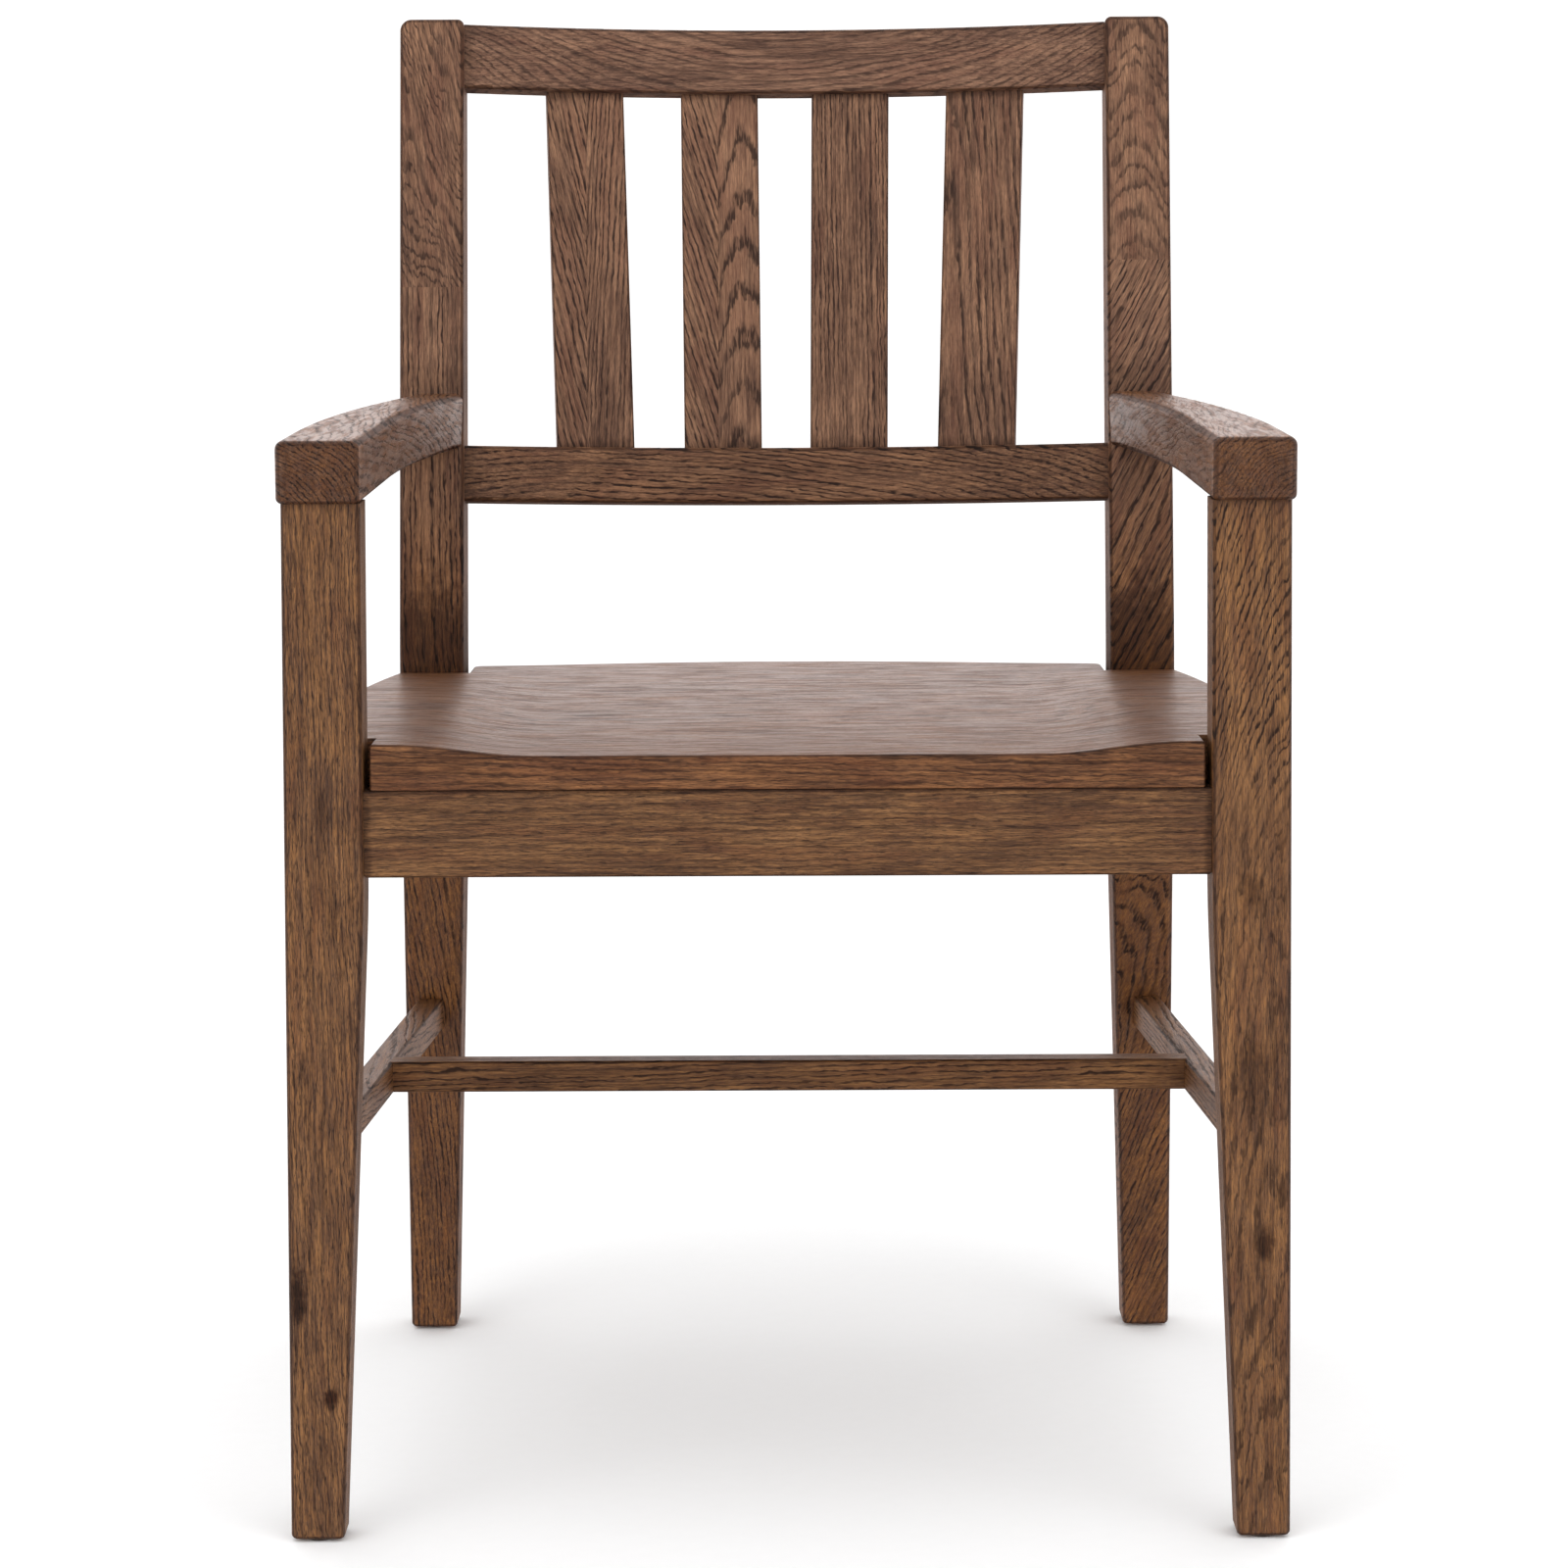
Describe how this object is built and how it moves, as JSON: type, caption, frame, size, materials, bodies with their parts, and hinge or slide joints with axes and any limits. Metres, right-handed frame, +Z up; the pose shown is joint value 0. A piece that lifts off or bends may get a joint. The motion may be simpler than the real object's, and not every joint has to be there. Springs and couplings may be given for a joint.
{
  "type": "wooden armchair",
  "caption": "Solid oak armchair with a slatted curved back, swept arms, a scooped plank seat and tapered legs joined by an H stretcher.",
  "frame": {"origin": "on the floor, under the middle of the chair's bounding box", "axes": "+Z up; +Y from the front of the chair to its back; +X towards the sitter's left, which is the viewer's right from the front"},
  "size_m": [0.598, 0.5431, 0.9215],
  "materials": {
    "oak_legs": "stained open-grain oak, satin lacquer",
    "oak_posts": "stained open-grain oak, satin lacquer",
    "oak_arms": "stained open-grain oak, satin lacquer, edges worn smooth",
    "oak_seat": "stained open-grain oak, satin lacquer",
    "oak_back": "stained open-grain oak, satin lacquer",
    "oak_aprons": "stained open-grain oak, satin lacquer",
    "oak_stretchers": "stained open-grain oak, satin lacquer",
    "raw_wood": "planed, unfinished",
    "screw_steel": "zinc-plated, satin",
    "glide_nylon": "matte moulded nylon"
  },
  "bodies": {
    "root": {"front_leg_left": "oak_legs", "rear_post_left": "oak_posts", "arm_left": "oak_arms", "side_apron_left": "oak_aprons", "side_stretcher_left": "oak_stretchers", "front_corner_block_left": "raw_wood", "rear_corner_block_left": "raw_wood", "front_foot_glide_left": "glide_nylon", "rear_foot_glide_left": "glide_nylon", "front_leg_right": "oak_legs", "rear_post_right": "oak_posts", "arm_right": "oak_arms", "side_apron_right": "oak_aprons", "side_stretcher_right": "oak_stretchers", "front_corner_block_right": "raw_wood", "rear_corner_block_right": "raw_wood", "front_foot_glide_right": "glide_nylon", "rear_foot_glide_right": "glide_nylon", "seat": "oak_seat", "crest_rail": "oak_back", "lower_back_rail": "oak_back", "back_slat_1": "oak_back", "back_slat_2": "oak_back", "back_slat_3": "oak_back", "back_slat_4": "oak_back", "front_apron": "oak_aprons", "rear_apron": "oak_aprons", "cross_stretcher": "oak_stretchers", "arm_dowels": "raw_wood", "corner_block_screws": "screw_steel", "seat_screws": "screw_steel"}
  },
  "joints": []
}
